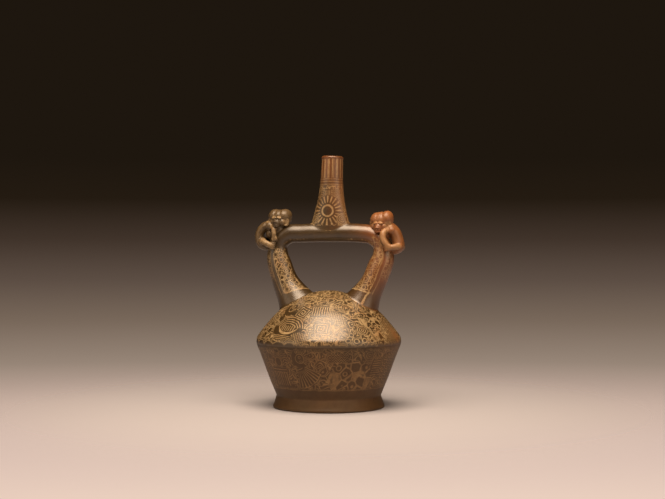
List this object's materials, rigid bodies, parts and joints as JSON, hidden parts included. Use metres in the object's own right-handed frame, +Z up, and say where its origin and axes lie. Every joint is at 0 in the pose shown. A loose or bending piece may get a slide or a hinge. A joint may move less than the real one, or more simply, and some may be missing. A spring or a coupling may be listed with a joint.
{
  "type": "stirrup spout vessel",
  "caption": "Hollow fired-clay bottle: angled body on a ring foot, loop-shaped stirrup handle carrying a tall spout, and a small monkey on each bend of the stirrup.",
  "frame": {"origin": "on the ground under the centre of the ring foot", "axes": "+Z up through the body, +X to the right along the stirrup, +Y to the back"},
  "size_m": [0.1485, 0.141, 0.245],
  "materials": {
    "burnished_clay": "satin"
  },
  "bodies": {
    "root": {"vessel": "burnished_clay"}
  },
  "joints": []
}
